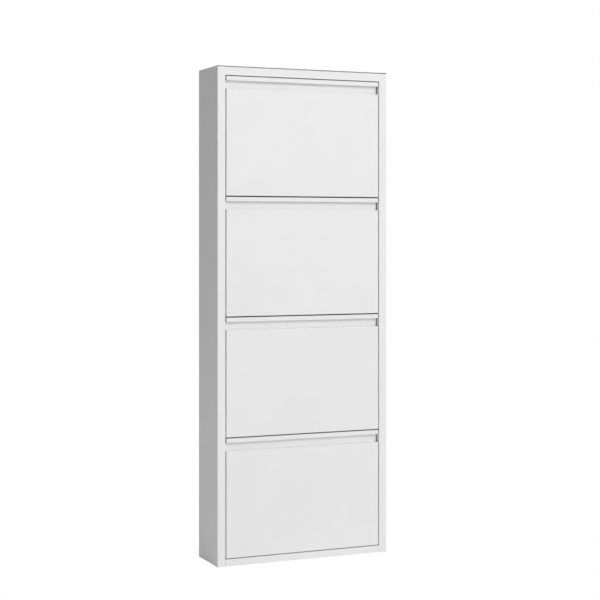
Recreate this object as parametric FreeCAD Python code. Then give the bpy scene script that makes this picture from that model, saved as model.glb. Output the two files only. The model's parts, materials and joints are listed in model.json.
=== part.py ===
import FreeCAD, Part
import math
import os

from FreeCAD import Vector

# Slim shoe cabinet of folded, powder-coated sheet steel with four tilting flaps.
# Millimetres. +X is to the right seen from the front, +Y to the back, +Z up.
# The origin is the centre of the cabinet's footprint, on the floor.

# ---- Overall size ----
WIDTH = 510.0
DEPTH = 150.0
HEIGHT = 1360.0
FLAP_COUNT = 4

# ---- Sheet and bends ----
SHEET = 0.8             # carcass and flap sheet
BACK_SHEET = 0.6        # back panel
RAIL_SHEET = 1.2        # wall rail and catch brackets
BEND = 0.4              # inside radius of an ordinary bend
FIT = 0.1               # gap where one sheet's edge butts against another sheet

# ---- Carcass ----
PAD_THICKNESS = 2.0
PAD_RADIUS = 11.0
PAD_INSET = 20.0        # pad centre from the side wall, the stile's lip and the back
LID_THICKNESS = 3.0
LID_GAP = 8.0           # depth of the shadow gap between the lid's front edge and the top rail
LID_FLANGE = 13.0       # width of the lid's turned-in flange
STILE = 23.0            # front face of each side panel
LIP_DEPTH = 18.0        # stile's return into the opening
TOP_RAIL = 25.5         # from the lid's top down to the opening
BASE_RAIL = 19.0        # from the side panels' lower edge up to the opening
RAIL_RETURN = 14.0
RAIL_TOP_FLANGE = 20.0
SIDE_BACK_FLANGE = 15.0
SIDE_TOP_FLANGE = 20.0
SIDE_BASE_FLANGE = 50.0
FLANGE_NOTCH = 2.0      # relief between neighbouring flanges of one sheet
BASE_BACK_FLANGE = 16.0
WALL_RAIL_HEIGHT = 40.0
WALL_RAIL_FLANGE = 12.0
WALL_RAIL_DROP = 32.0   # rail's upper edge below the lid
WALL_RAIL_MARGIN = 26.0  # rail's end from the side wall
WALL_HOLE_RADIUS = 3.5
WALL_HOLE_SPACING = 360.0

# ---- Flaps ----
SIDE_GAP = 2.6          # flap to stile
END_GAP = 2.4           # first and last flap to the rails
FLAP_GAP = 3.2          # flap to flap
BAR_HEIGHT = 12.0       # grip bar along the flap's upper edge
BAR_DEPTH = 16.0
BAR_RETURN = 9.0        # bar's turned-down rear edge
GROOVE_HEIGHT = 22.0    # finger groove under the bar
GROOVE_DEPTH = 13.5
FOOT_FLANGE = 14.0      # flange along the flap's lower edge
SIDE_FLANGE = 16.0      # flanges along the flap's sides
PIVOT_BACK = 8.0        # pivot behind the flap's face
PIVOT_UP = 14.0         # pivot above the flap's lower edge
OPEN_ANGLE = 45.0       # degrees from closed to the stop

# ---- Shoe bin ----
BIN_FLOOR = 24.0        # floor above the flap's lower edge
BIN_BACK = 190.0        # height of the bin's back
BIN_CLEARANCE = 8.0     # bin's back to the back panel
BIN_HEM = 4.0
BIN_HEM_DROP = 8.0
BIN_FRONT_FLANGE = 15.0
BIN_SIDE_FLANGE = 14.0
CHEEK_CLEARANCE = 50.0  # cheek's swept arc below the flap's upper edge
CHEEK_FOOT = 2.5        # cheek's lower edge above the flap's lower edge
CHEEK_UNDER = 3.2       # cheek's rear corner below the bin's floor
CHEEK_CORNER = 8.0

# ---- Pivots and stops ----
STUD_RADIUS = 3.0
STUD_HEAD_RADIUS = 5.0
STUD_HEAD = 1.5
BUSH_CLEARANCE = 0.05   # radial running clearance of the bush on the stud
BUSH_RADIUS = 4.0
BUSH_FLANGE_RADIUS = 6.0
BUSH_FLANGE = 1.2
BUSH_INNER = 3.0        # bush inside the cheek
STUD_PROUD = 1.0        # stud past the bush's inner end
STOP_INSET = 8.0        # stop stud from the bin's back
STOP_RADIUS = 2.5
STOP_HEAD_RADIUS = 4.0
STOP_HEAD = 1.2
STOP_REACH = 9.0        # stop stud outside the cheek
SLEEVE_RADIUS = 4.0
SLEEVE_END = 0.8        # stop stud's flared end, outside the sleeve
SLEEVE_END_RADIUS = 3.2
STOP_CLEARANCE = 0.3    # sleeve to the stile's lip with the flap open
SEAT = 0.05             # radial clearance of a pin in a drilled hole
SPARE = 1.0             # how far a cutting tool runs past what it cuts

# ---- Catches ----
CATCH_HEIGHT = 14.0
CATCH_WIDTH = 26.0
CATCH_DEPTH = 10.0
HOUSING_ROUND = 1.5
CATCH_INSET = 4.0       # housing's side to the flap's side
CATCH_GAP = 0.3         # housing's face to the closed flap
BRACKET_FRONT_INSET = 3.0
MAGNET_WIDTH = 18.0
MAGNET_HEIGHT = 8.0
MAGNET_DEPTH = 4.0
SCREW_RADIUS = 1.5
SCREW_LENGTH = 5.0      # in the housing
SCREW_HEAD_RADIUS = 2.8
SCREW_HEAD = 1.6

# ---- Rivets ----
RIVET_RADIUS = 1.6
RIVET_HEAD_RADIUS = 2.8
RIVET_TAIL_RADIUS = 2.4
RIVET_HEAD = 0.7
RIVET_END_MARGIN = 40.0
BIN_RIVET_MARGIN = 24.0
RIVET_EDGE = 8.0        # rivet centre from a sheet's edge
BASE_RIVET_EDGE = 6.5   # from the upper edge of the bottom panel's rear flange
LID_RIVET_EDGE = 6.5    # from the outer edge of the lid's flange

# ---- Derived planes ----
FRONT = -DEPTH / 2
BACK = DEPTH / 2
WALL_X = WIDTH / 2                      # side wall's outer face
LIP_X = WALL_X - STILE                  # stile lip's face, at the opening
BASE_Z = PAD_THICKNESS
LID_Z = HEIGHT - LID_THICKNESS
LID_GAP_Y = FRONT + LID_GAP             # rear of the shadow gap
STILE_EDGE_X = LIP_X + SHEET + BEND     # where the stile's face starts to bend into its lip
OPENING_LOW = BASE_Z + BASE_RAIL
OPENING_HIGH = HEIGHT - TOP_RAIL
FLAP_HEIGHT = (OPENING_HIGH - OPENING_LOW - 2 * END_GAP - (FLAP_COUNT - 1) * FLAP_GAP) / FLAP_COUNT
FLAP_X = LIP_X - SIDE_GAP               # flap's outer side
CHEEK_X = FLAP_X - SHEET                # cheek's outer face, against the side flange
BIN_X = CHEEK_X - SHEET - FIT           # bin sheet's end
BACK_PANEL_Y = BACK - SHEET - BACK_SHEET  # back panel's front face
BIN_BACK_Y = BACK_PANEL_Y - BIN_CLEARANCE
PIVOT_Y = FRONT + PIVOT_BACK
CHEEK_RADIUS = FLAP_HEIGHT - PIVOT_UP - CHEEK_CLEARANCE
GROOVE_BACK_Y = FRONT + GROOVE_DEPTH + SHEET   # rear of the groove's wall
HOUSING_Y = GROOVE_BACK_Y + CATCH_GAP
BRACKET_Y = HOUSING_Y + CATCH_DEPTH
STOP_Y = BIN_BACK_Y - STOP_INSET

X_AXIS = Vector(1, 0, 0)
Y_AXIS = Vector(0, 1, 0)
Z_AXIS = Vector(0, 0, 1)


# ---- Helpers ----
def box(low, high):
    """Box between two opposite corners."""
    size = Vector(*high) - Vector(*low)
    return Part.makeBox(size.x, size.y, size.z, Vector(*low))


def cylinder(radius, start, direction, length):
    return Part.makeCylinder(radius, length, start, direction)


def spaced(low, high, count):
    """Evenly spaced values from low to high."""
    return [low + (high - low) * index / (count - 1) for index in range(count)]


def mirrored(shape):
    """The same piece on the cabinet's other side."""
    return shape.mirror(Vector(0, 0, 0), X_AXIS)


def both_sides(shapes):
    return shapes + [mirrored(shape) for shape in shapes]


def fold(points, inside_radii, thickness, axis, start, end):
    """Folded sheet: an end-on outline pushed along one axis.

    points run along one face of the sheet, whose metal lies on their right-hand side.
    They are (y, z) for axis X, (x, z) for axis Y and (x, y) for axis Z.
    """
    spots = [Vector(u, v, 0) for u, v in points]
    ways = [(after - before).normalize() for before, after in zip(spots, spots[1:])]
    inward = [Vector(way.y, -way.x, 0) for way in ways]
    near_start, near_end = spots[0], spots[-1]
    far_start, far_end = near_start + inward[0] * thickness, near_end + inward[-1] * thickness
    near_arcs = []
    far_arcs = []
    for index, inside in enumerate(inside_radii):
        corner = spots[index + 1]
        way_in, way_out = ways[index], ways[index + 1]
        towards_metal = way_in.cross(way_out).z < 0
        radius = inside + thickness if towards_metal else inside
        reach = radius * math.tan(way_in.getAngle(way_out) / 2)
        enter, leave = corner - way_in * reach, corner + way_out * reach
        side = 1 if towards_metal else -1
        centre = enter + inward[index] * (side * radius)
        bisector = (corner - centre).normalize()
        near_arcs.append((enter, centre + bisector * radius, leave))
        far_arcs.append((enter + inward[index] * thickness,
                         centre + bisector * (radius - side * thickness),
                         leave + inward[index + 1] * thickness))
    ends = [Part.LineSegment(near_start, far_start), Part.LineSegment(near_end, far_end)]
    edges = run_edges(near_start, near_arcs, near_end) + run_edges(far_start, far_arcs, far_end)
    edges += [end.toShape() for end in ends]
    face = Part.Face(Part.Wire(Part.__sortEdges__(edges)))
    return push(face, axis, start, end)


def run_edges(first, arcs, last):
    """Edges of straight runs joined by arcs of (enter, middle, leave)."""
    edges = []
    here = first
    for enter, middle, leave in arcs:
        edges.append(Part.LineSegment(here, enter).toShape())
        edges.append(Part.Arc(enter, middle, leave).toShape())
        here = leave
    edges.append(Part.LineSegment(here, last).toShape())
    return edges


def push(face, axis, start, end):
    """Turn a flat outline onto its plane at start and push it along the axis to end."""
    turned = face.copy()
    if axis == "X":
        turned.rotate(Vector(0, 0, 0), Z_AXIS, 90)
        turned.rotate(Vector(0, 0, 0), Y_AXIS, 90)
        turned.translate(X_AXIS * start)
        return turned.extrude(X_AXIS * (end - start))
    if axis == "Y":
        turned.rotate(Vector(0, 0, 0), X_AXIS, 90)
        turned.translate(Y_AXIS * start)
        return turned.extrude(Y_AXIS * (end - start))
    turned.translate(Z_AXIS * start)
    return turned.extrude(Z_AXIS * (end - start))


def drilled(shape, radius, spots, direction, depth):
    """The shape with straight holes from each spot along a direction."""
    return shape.cut([cylinder(radius, spot, direction, depth) for spot in spots])


def rivet(spot, direction, grip):
    """Set rivet: its head lies against the sheets at spot, and grip is their thickness."""
    shank = cylinder(RIVET_RADIUS, spot, direction, grip)
    head = cylinder(RIVET_HEAD_RADIUS, spot - direction * RIVET_HEAD, direction, RIVET_HEAD)
    tail = cylinder(RIVET_TAIL_RADIUS, spot + direction * grip, direction, RIVET_HEAD)
    return shank.fuse([head, tail]).removeSplitter()


def with_rivet_holes(shape, spots, direction, grip):
    starts = [spot - direction * RIVET_HEAD for spot in spots]
    return drilled(shape, RIVET_RADIUS + SEAT, starts, direction, grip + 2 * RIVET_HEAD)


# ---- Where the rivets and pivots are ----
def flap_base(number):
    """Height of a flap's lower edge. Flap 1 is the top one."""
    return OPENING_LOW + END_GAP + (FLAP_COUNT - number) * (FLAP_HEIGHT + FLAP_GAP)


def pivot_height(number):
    return flap_base(number) + PIVOT_UP


def base_rivet_spots():
    inner = WALL_X - SIDE_BASE_FLANGE
    x = (inner + LIP_X) / 2
    rows = spaced(FRONT + RIVET_END_MARGIN, BACK - RIVET_END_MARGIN, 3)
    return [Vector(side * x, y, BASE_Z) for y in rows for side in (-1, 1)]


def top_side_rivet_spots():
    x = WALL_X - LID_RIVET_EDGE
    rows = spaced(FRONT + RIVET_END_MARGIN, BACK - RIVET_END_MARGIN, 3)
    return [Vector(side * x, y, LID_Z - SHEET) for y in rows for side in (-1, 1)]


def top_rail_rivet_spots():
    reach = LIP_X - RIVET_END_MARGIN
    return [Vector(x, LID_GAP_Y + LID_RIVET_EDGE, LID_Z - SHEET) for x in spaced(-reach, reach, 3)]


def back_rivet_spots():
    reach = LIP_X - RIVET_END_MARGIN
    low = BASE_Z + SHEET + BASE_BACK_FLANGE - BASE_RIVET_EDGE
    high = HEIGHT - WALL_RAIL_DROP - WALL_RAIL_HEIGHT / 2
    low_row = [Vector(x, BACK_PANEL_Y + BACK_SHEET, low) for x in spaced(-reach, reach, 5)]
    high_row = [Vector(x, BACK_PANEL_Y + BACK_SHEET, high) for x in spaced(-reach, reach, 4)]
    return low_row, high_row


def wall_hole_spots():
    z = HEIGHT - WALL_RAIL_DROP - WALL_RAIL_HEIGHT / 2
    return [Vector(side * WALL_HOLE_SPACING / 2, BACK, z) for side in (-1, 1)]


# ---- Carcass ----
def left_side_panel():
    """Side wall with its stile and lip in front, and flanges at the rear, top and base."""
    corners = [(-LIP_X, FRONT + LIP_DEPTH), (-LIP_X, FRONT), (-WALL_X, FRONT),
               (-WALL_X, BACK), (-WALL_X + SIDE_BACK_FLANGE, BACK)]
    shell = fold(corners, [BEND] * (len(corners) - 2), SHEET, "Z", BASE_Z, LID_Z)
    lip_top = box((-STILE_EDGE_X, FRONT - SPARE, OPENING_HIGH - FIT),
                  (-LIP_X + SPARE, FRONT + LIP_DEPTH + SPARE, LID_Z + SPARE))
    shell = shell.cut(lip_top)
    flange_front = FRONT + LIP_DEPTH + FLANGE_NOTCH
    flange_back = BACK - SHEET - BEND - FLANGE_NOTCH
    shell = shell.cut(box((-WALL_X - SPARE, flange_front, BASE_Z - SPARE),
                          (-WALL_X + SHEET, flange_back, LID_Z + SPARE)))
    wall = fold([(-WALL_X + SIDE_BASE_FLANGE, BASE_Z), (-WALL_X, BASE_Z),
                 (-WALL_X, LID_Z), (-WALL_X + SIDE_TOP_FLANGE, LID_Z)],
                [BEND, BEND], SHEET, "Y", flange_front, flange_back)
    panel = shell.fuse(wall).removeSplitter()
    panel = with_rivet_holes(panel, base_rivet_spots(), Z_AXIS, 2 * SHEET)
    panel = with_rivet_holes(panel, top_side_rivet_spots(), Z_AXIS, 2 * SHEET)
    pivots = [Vector(-LIP_X - SHEET, PIVOT_Y, pivot_height(n)) for n in flap_numbers()]
    return drilled(panel, STUD_RADIUS + SEAT, pivots, X_AXIS, SHEET)


def top_panel():
    """Lid: a shallow pan whose top sheet runs on to the front, over a shadow gap."""
    outer = lid_slab(0, BEND + SHEET)
    inner = lid_slab(SHEET, BEND)
    window = box((-WALL_X + LID_FLANGE, LID_GAP_Y + LID_FLANGE, LID_Z - SPARE),
                 (WALL_X - LID_FLANGE, BACK - LID_FLANGE, LID_Z + 2 * SHEET))
    gap = box((-WALL_X + SHEET, FRONT - SPARE, LID_Z - SPARE),
              (WALL_X - SHEET, LID_GAP_Y, HEIGHT - SHEET))
    skirt = box((-WALL_X + SHEET / 2, LID_GAP_Y, LID_Z + SHEET / 2),
                (WALL_X - SHEET / 2, LID_GAP_Y + SHEET, HEIGHT - SHEET / 2))
    lid = outer.cut([inner, window]).fuse(skirt).cut(gap).removeSplitter()
    return with_rivet_holes(lid, top_side_rivet_spots() + top_rail_rivet_spots(), Z_AXIS, 2 * SHEET)


def lid_slab(inset, bend_radius):
    """The lid's outline, or the hollow inside its sheet when inset. Its front edges stay square."""
    slab = box((-WALL_X + inset, FRONT - inset, LID_Z + inset),
               (WALL_X - inset, BACK - inset, HEIGHT - inset))
    rear_uprights = [edge for edge in slab.Edges if edge.BoundBox.YMin > 0 and edge.BoundBox.ZLength > SHEET]
    slab = slab.makeFillet(bend_radius, rear_uprights)
    level = [edge for edge in slab.Edges if edge.BoundBox.ZLength < FIT and edge.BoundBox.YMax > 0]
    return slab.makeFillet(bend_radius, level)


def top_rail():
    """Channel across the top of the opening, flush between the stiles' faces."""
    corners = [(FRONT + RAIL_RETURN, OPENING_HIGH), (FRONT, OPENING_HIGH), (FRONT, LID_Z),
               (FRONT + RAIL_TOP_FLANGE, LID_Z)]
    rail = fold(corners, [BEND, BEND], SHEET, "X", -STILE_EDGE_X + FIT, STILE_EDGE_X - FIT)
    return with_rivet_holes(rail, top_rail_rivet_spots(), Z_AXIS, 2 * SHEET)


def bottom_panel():
    """Floor sheet that turns up into the bottom rail in front and a flange behind."""
    floor_z = BASE_Z + SHEET
    rear_y = BACK_PANEL_Y
    corners = [(rear_y, floor_z + BASE_BACK_FLANGE), (rear_y, floor_z), (FRONT, floor_z),
               (FRONT, OPENING_LOW), (FRONT + RAIL_RETURN, OPENING_LOW)]
    panel = fold(corners, [BEND, BEND, BEND], SHEET, "X", -LIP_X + FIT, LIP_X - FIT)
    panel = with_rivet_holes(panel, base_rivet_spots(), Z_AXIS, 2 * SHEET)
    low_row, _ = back_rivet_spots()
    return with_rivet_holes(panel, low_row, -Y_AXIS, BACK_SHEET + SHEET)


def back_panel():
    reach = WALL_X - SHEET - BEND - FIT
    sheet = box((-reach, BACK_PANEL_Y, BASE_Z + SHEET),
                (reach, BACK_PANEL_Y + BACK_SHEET, LID_Z - SHEET))
    low_row, high_row = back_rivet_spots()
    sheet = with_rivet_holes(sheet, low_row + high_row, -Y_AXIS, BACK_SHEET + RAIL_SHEET)
    return drilled(sheet, WALL_HOLE_RADIUS, wall_hole_spots(), -Y_AXIS, WALL_RAIL_FLANGE)


def wall_rail():
    """Channel inside the back panel's upper end that takes the wall screws."""
    high = HEIGHT - WALL_RAIL_DROP
    low = high - WALL_RAIL_HEIGHT
    front_y = BACK_PANEL_Y - WALL_RAIL_FLANGE
    reach = WALL_X - WALL_RAIL_MARGIN
    corners = [(front_y, high), (BACK_PANEL_Y, high), (BACK_PANEL_Y, low), (front_y, low)]
    rail = fold(corners, [BEND, BEND], RAIL_SHEET, "X", -reach, reach)
    _, high_row = back_rivet_spots()
    rail = with_rivet_holes(rail, high_row, -Y_AXIS, BACK_SHEET + RAIL_SHEET)
    return drilled(rail, WALL_HOLE_RADIUS, wall_hole_spots(), -Y_AXIS, WALL_RAIL_FLANGE)


def floor_pads():
    x = WALL_X - PAD_INSET
    rows = (FRONT + LIP_DEPTH + PAD_INSET, BACK - PAD_INSET)
    return [cylinder(PAD_RADIUS, Vector(side * x, y, 0), Z_AXIS, PAD_THICKNESS)
            for y in rows for side in (-1, 1)]


def flap_numbers():
    return range(1, FLAP_COUNT + 1)


def pivot_studs():
    """Left-hand studs, headed behind the stile's lip, one for each flap."""
    length = SHEET + SIDE_GAP + 2 * SHEET + BUSH_INNER + STUD_PROUD
    studs = []
    for number in flap_numbers():
        start = Vector(-LIP_X - SHEET, PIVOT_Y, pivot_height(number))
        shank = cylinder(STUD_RADIUS, start, X_AXIS, length)
        head = cylinder(STUD_HEAD_RADIUS, start - X_AXIS * STUD_HEAD, X_AXIS, STUD_HEAD)
        studs.append(shank.fuse(head).removeSplitter())
    return studs


# ---- Catches ----
def catch_low(number):
    """Lower edge of a flap's catches, which meet the groove's wall at its middle."""
    return flap_base(number) + FLAP_HEIGHT - BAR_HEIGHT - (GROOVE_HEIGHT + CATCH_HEIGHT) / 2


def catch_screw_start(number):
    """Where a left-hand catch screw's head meets its bracket."""
    x = -FLAP_X + CATCH_INSET + CATCH_WIDTH / 2
    return Vector(x, BRACKET_Y + RAIL_SHEET, catch_low(number) + CATCH_HEIGHT / 2)


def catch_bracket(number):
    """Angle welded to the left stile's lip, with a leg that carries the housing."""
    lip_side = -LIP_X - SHEET - RAIL_SHEET
    rear_y = BRACKET_Y + RAIL_SHEET
    corners = [(lip_side, FRONT + BRACKET_FRONT_INSET), (lip_side, rear_y),
               (-FLAP_X + CATCH_INSET + CATCH_WIDTH, rear_y)]
    low = catch_low(number)
    bracket = fold(corners, [BEND], RAIL_SHEET, "Z", low, low + CATCH_HEIGHT)
    return drilled(bracket, SCREW_RADIUS + SEAT, [catch_screw_start(number)], -Y_AXIS, RAIL_SHEET)


def magnet(number):
    x = -FLAP_X + CATCH_INSET + (CATCH_WIDTH - MAGNET_WIDTH) / 2
    z = catch_low(number) + (CATCH_HEIGHT - MAGNET_HEIGHT) / 2
    return box((x, HOUSING_Y, z), (x + MAGNET_WIDTH, HOUSING_Y + MAGNET_DEPTH, z + MAGNET_HEIGHT))


def catch_housing(number):
    low = catch_low(number)
    left = -FLAP_X + CATCH_INSET
    block = box((left, HOUSING_Y, low), (left + CATCH_WIDTH, BRACKET_Y, low + CATCH_HEIGHT))
    deep = [edge for edge in block.Edges if edge.BoundBox.YLength > CATCH_DEPTH / 2]
    block = block.makeFillet(HOUSING_ROUND, deep).cut(magnet(number))
    return drilled(block, SCREW_RADIUS + SEAT, [catch_screw_start(number)], -Y_AXIS,
                   RAIL_SHEET + SCREW_LENGTH)


def catch_screw(number):
    start = catch_screw_start(number)
    shank = cylinder(SCREW_RADIUS, start, -Y_AXIS, RAIL_SHEET + SCREW_LENGTH)
    head = cylinder(SCREW_HEAD_RADIUS, start, Y_AXIS, SCREW_HEAD)
    slot = box((-SCREW_HEAD_RADIUS, 0, -SCREW_HEAD / 4), (SCREW_HEAD_RADIUS, SCREW_HEAD / 2, SCREW_HEAD / 4))
    slot.translate(start + Y_AXIS * (SCREW_HEAD / 2))
    return shank.fuse(head).cut(slot).removeSplitter()


# ---- Flaps ----
def with_side_flanges(strip, half_width, run_y, tip_y, low, high):
    """Turn a strip's upright run at run_y into flanges at both ends, reaching to tip_y."""
    run_x = -half_width + SIDE_FLANGE
    corners = [(run_x, run_y), (-half_width, run_y), (-half_width, tip_y)]
    if tip_y < run_y:
        corners.reverse()
    flange = fold(corners, [BEND], SHEET, "Z", low, high)
    run = box((-half_width - SPARE, run_y - SHEET - SPARE, low), (run_x, run_y + SHEET + SPARE, high))
    return strip.cut(both_sides([run])).fuse(both_sides([flange])).removeSplitter()


def flap_rivet_spots(number):
    """Left-hand rivets: flap side flange to cheek, then cheek to bin flange."""
    base = flap_base(number)
    ledge = FLAP_HEIGHT - BAR_HEIGHT - GROOVE_HEIGHT
    front_y = FRONT + SIDE_FLANGE - RIVET_EDGE
    front_row = spaced(base + RIVET_END_MARGIN, base + ledge - RIVET_END_MARGIN, 3)
    low = base + BIN_FLOOR + BIN_RIVET_MARGIN
    high = base + BIN_FLOOR + BIN_BACK - BIN_RIVET_MARGIN
    front = [Vector(-FLAP_X, front_y, z) for z in front_row]
    rear = [Vector(-CHEEK_X, STOP_Y, z) for z in (low, high)]
    return front, rear


def stop_spot(number):
    """Left-hand stop stud's centre, on the cheek's outer face.

    Its height makes the sleeve meet the back of the stile's lip at the open angle.
    """
    angle = math.radians(OPEN_ANGLE)
    behind_pivot = STOP_Y - PIVOT_Y
    contact = LIP_DEPTH - PIVOT_BACK + SLEEVE_RADIUS + STOP_CLEARANCE
    above_pivot = (behind_pivot * math.cos(angle) - contact) / math.sin(angle)
    return Vector(-CHEEK_X, STOP_Y, pivot_height(number) + above_pivot)


def bush_hole(shape, number):
    start = Vector(-FLAP_X, PIVOT_Y, pivot_height(number))
    return drilled(shape, BUSH_RADIUS + SEAT, [start], X_AXIS, 2 * SHEET)


def flap_front(number):
    """One folded sheet: lower flange, face, ledge, groove, grip bar and side flanges."""
    base = flap_base(number)
    top = base + FLAP_HEIGHT
    bar = top - BAR_HEIGHT
    ledge = bar - GROOVE_HEIGHT
    corners = [(FRONT + FOOT_FLANGE, base), (FRONT, base), (FRONT, ledge),
               (FRONT + GROOVE_DEPTH, ledge), (FRONT + GROOVE_DEPTH, bar), (FRONT, bar),
               (FRONT, top), (FRONT + BAR_DEPTH, top), (FRONT + BAR_DEPTH, top - BAR_RETURN)]
    sheet = fold(corners, [BEND] * 7, SHEET, "X", -FLAP_X, FLAP_X)
    sheet = with_side_flanges(sheet, FLAP_X, FRONT, FRONT + SIDE_FLANGE,
                              base + CHEEK_FOOT, ledge - FLANGE_NOTCH)
    front_spots, _ = flap_rivet_spots(number)
    sheet = bush_hole(sheet, number)
    sheet = mirrored(bush_hole(mirrored(sheet), number))
    return with_rivet_holes(sheet, both_side_spots(front_spots), X_AXIS, 2 * SHEET)


def both_side_spots(spots):
    """Left-hand spots and starts for the same holes drilled at the other side."""
    shift = X_AXIS * (2 * SHEET)
    return spots + [Vector(-spot.x, spot.y, spot.z) - shift for spot in spots]


def left_cheek(number):
    """Side plate of the shoe bin, whose upper edge is an arc about the pivot."""
    base = flap_base(number)
    pivot_z = pivot_height(number)
    front_y = FRONT + SHEET + BEND + FIT
    foot = base + CHEEK_FOOT
    rear_foot = base + BIN_FLOOR - CHEEK_UNDER
    outline = [Vector(-CHEEK_X, y, z) for y, z in (
        (front_y, foot), (FRONT + 2 * SIDE_FLANGE, foot), (BIN_BACK_Y, rear_foot),
        (BIN_BACK_Y, base + FLAP_HEIGHT), (front_y, base + FLAP_HEIGHT))]
    plate = Part.Face(Part.makePolygon(outline + [outline[0]])).extrude(X_AXIS * SHEET)
    sweep_start = Vector(-CHEEK_X - SPARE, PIVOT_Y, pivot_z)
    sweep = cylinder(CHEEK_RADIUS, sweep_start, X_AXIS, SHEET + 2 * SPARE)
    plate = plate.common(sweep)
    rear = [edge for edge in plate.Edges
            if edge.BoundBox.XLength > SHEET / 2 and edge.BoundBox.YMin > BIN_BACK_Y - FIT]
    plate = plate.makeFillet(CHEEK_CORNER, rear)
    front_spots, rear_spots = flap_rivet_spots(number)
    plate = with_rivet_holes(plate, front_spots, X_AXIS, 2 * SHEET)
    plate = with_rivet_holes(plate, rear_spots, X_AXIS, 2 * SHEET + FIT)
    plate = drilled(plate, STOP_RADIUS + SEAT, [stop_spot(number)], X_AXIS, SHEET)
    return bush_hole(plate, number)


def shoe_bin(number):
    """One folded sheet between the cheeks: front flange, floor, back and hem."""
    base = flap_base(number)
    floor = base + BIN_FLOOR
    top = floor + BIN_BACK
    front_y = FRONT + SHEET
    corners = [(BIN_BACK_Y - BIN_HEM, top - BIN_HEM_DROP), (BIN_BACK_Y - BIN_HEM, top),
               (BIN_BACK_Y, top), (BIN_BACK_Y, floor), (front_y, floor),
               (front_y, floor + BIN_FRONT_FLANGE)]
    sheet = fold(corners, [BEND] * 4, SHEET, "X", -BIN_X, BIN_X)
    sheet = with_side_flanges(sheet, BIN_X, BIN_BACK_Y, BIN_BACK_Y - BIN_SIDE_FLANGE,
                              floor + SHEET + FLANGE_NOTCH, top - BIN_HEM_DROP - FLANGE_NOTCH)
    _, rear_spots = flap_rivet_spots(number)
    holes = [cylinder(RIVET_RADIUS + SEAT, spot, X_AXIS, 4 * SHEET) for spot in rear_spots]
    holes.append(cylinder(STOP_RADIUS + SEAT, stop_spot(number), X_AXIS, 4 * SHEET))
    return sheet.cut(both_sides(holes))


def bush(number):
    """Left-hand flanged bush, in the holes of the side flange and the cheek."""
    outer = Vector(-FLAP_X - BUSH_FLANGE, PIVOT_Y, pivot_height(number))
    seat = outer + X_AXIS * BUSH_FLANGE
    flange = cylinder(BUSH_FLANGE_RADIUS, outer, X_AXIS, BUSH_FLANGE)
    body = cylinder(BUSH_RADIUS, seat, X_AXIS, 2 * SHEET + BUSH_INNER)
    whole = flange.fuse(body).removeSplitter()
    return drilled(whole, STUD_RADIUS + BUSH_CLEARANCE, [outer], X_AXIS,
                   BUSH_FLANGE + 2 * SHEET + BUSH_INNER)


def stop_stud(number):
    """Left-hand stop stud, headed inside the bin, that carries the sleeve outside."""
    seat = stop_spot(number)
    inner = seat + X_AXIS * (2 * SHEET + FIT)
    outer = seat - X_AXIS * STOP_REACH
    shank = cylinder(STOP_RADIUS, outer, X_AXIS, (inner - outer).x)
    head = cylinder(STOP_HEAD_RADIUS, inner, X_AXIS, STOP_HEAD)
    end = cylinder(SLEEVE_END_RADIUS, outer - X_AXIS * SLEEVE_END, X_AXIS, SLEEVE_END)
    return shank.fuse([head, end]).removeSplitter()


def stop_sleeve(number):
    outer = stop_spot(number) - X_AXIS * STOP_REACH
    tube = cylinder(SLEEVE_RADIUS, outer, X_AXIS, STOP_REACH - FIT)
    return drilled(tube, STOP_RADIUS + SEAT, [outer], X_AXIS, STOP_REACH)


def flap_rivets(number):
    front_spots, rear_spots = flap_rivet_spots(number)
    left = [rivet(spot, X_AXIS, 2 * SHEET) for spot in front_spots]
    left += [rivet(spot, X_AXIS, 2 * SHEET + FIT) for spot in rear_spots]
    return both_sides(left)


# ---- Nodes ----
def group(shapes):
    return Part.makeCompound(shapes)


def carcass_nodes():
    left = left_side_panel()
    studs = pivot_studs()
    brackets = [catch_bracket(number) for number in flap_numbers()]
    low_row, high_row = back_rivet_spots()
    back_rivets = [rivet(spot, -Y_AXIS, BACK_SHEET + SHEET) for spot in low_row]
    back_rivets += [rivet(spot, -Y_AXIS, BACK_SHEET + RAIL_SHEET) for spot in high_row]
    top_spots = top_side_rivet_spots() + top_rail_rivet_spots()
    return {
        "left_side_panel": left,
        "right_side_panel": mirrored(left),
        "top_panel": top_panel(),
        "top_rail": top_rail(),
        "bottom_panel": bottom_panel(),
        "back_panel": back_panel(),
        "wall_rail": wall_rail(),
        "floor_pads": group(floor_pads()),
        "pivot_studs_left": group(studs),
        "pivot_studs_right": group([mirrored(stud) for stud in studs]),
        "catch_brackets_left": group(brackets),
        "catch_brackets_right": group([mirrored(bracket) for bracket in brackets]),
        "catch_housings": group(both_sides([catch_housing(n) for n in flap_numbers()])),
        "catch_magnets": group(both_sides([magnet(n) for n in flap_numbers()])),
        "catch_screws": group(both_sides([catch_screw(n) for n in flap_numbers()])),
        "base_rivets": group([rivet(spot, Z_AXIS, 2 * SHEET) for spot in base_rivet_spots()]),
        "top_rivets": group([rivet(spot, Z_AXIS, 2 * SHEET) for spot in top_spots]),
        "back_rivets": group(back_rivets),
    }


def flap_nodes(number):
    name = f"flap_{number}"
    cheek = left_cheek(number)
    return {
        f"{name}_front": flap_front(number),
        f"{name}_cheek_left": cheek,
        f"{name}_cheek_right": mirrored(cheek),
        f"{name}_bin": shoe_bin(number),
        f"{name}_bushes": group(both_sides([bush(number)])),
        f"{name}_stop_studs": group(both_sides([stop_stud(number)])),
        f"{name}_stop_sleeves": group(both_sides([stop_sleeve(number)])),
        f"{name}_rivets": group(flap_rivets(number)),
    }


nodes = carcass_nodes()
for flap_number in flap_numbers():
    nodes.update(flap_nodes(flap_number))

os.makedirs("parts", exist_ok=True)
for node_name, node_shape in nodes.items():
    node_shape.exportStep(f"parts/{node_name}.step")
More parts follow.
